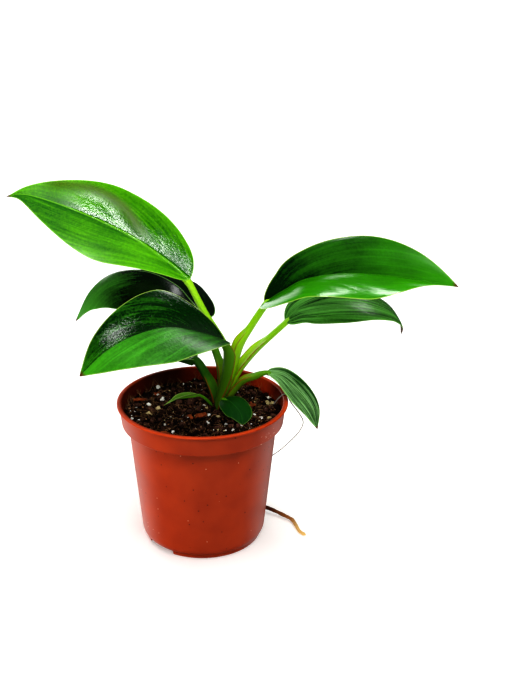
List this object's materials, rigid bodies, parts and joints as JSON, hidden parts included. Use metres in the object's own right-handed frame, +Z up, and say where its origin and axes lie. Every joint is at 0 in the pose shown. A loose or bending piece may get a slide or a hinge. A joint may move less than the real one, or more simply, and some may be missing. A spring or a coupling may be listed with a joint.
{
  "type": "potted philodendron",
  "caption": "Young leafy philodendron with long arching leaves on sheathed stalks, growing in soil in a tapered plastic nursery pot that stands on its foot ring.",
  "frame": {"origin": "on the surface it stands on, under the middle of the whole plant's bounding box", "axes": "+Z up, +X along the plant's greatest spread, towards the long upper right leaf, -Y towards the viewer of the picture"},
  "size_m": [0.3272, 0.1626, 0.2453],
  "materials": {
    "pot_plastic": "satin",
    "soil": "matte",
    "stem": "matte",
    "root": "matte",
    "leaf_young": "gloss",
    "leaf_mid": "gloss",
    "leaf_dark": "gloss"
  },
  "bodies": {
    "root": {"pot": "pot_plastic", "soil": "soil", "stem": "stem", "root": "root", "leaf_upper_left": "leaf_young", "leaf_upper_right": "leaf_mid", "leaf_rear_left": "leaf_dark", "leaf_front_left": "leaf_dark", "leaf_rear_right": "leaf_dark", "leaf_low_left": "leaf_dark", "leaf_right": "leaf_mid", "leaf_front": "leaf_dark", "leaf_soil_left": "leaf_young"}
  },
  "joints": []
}
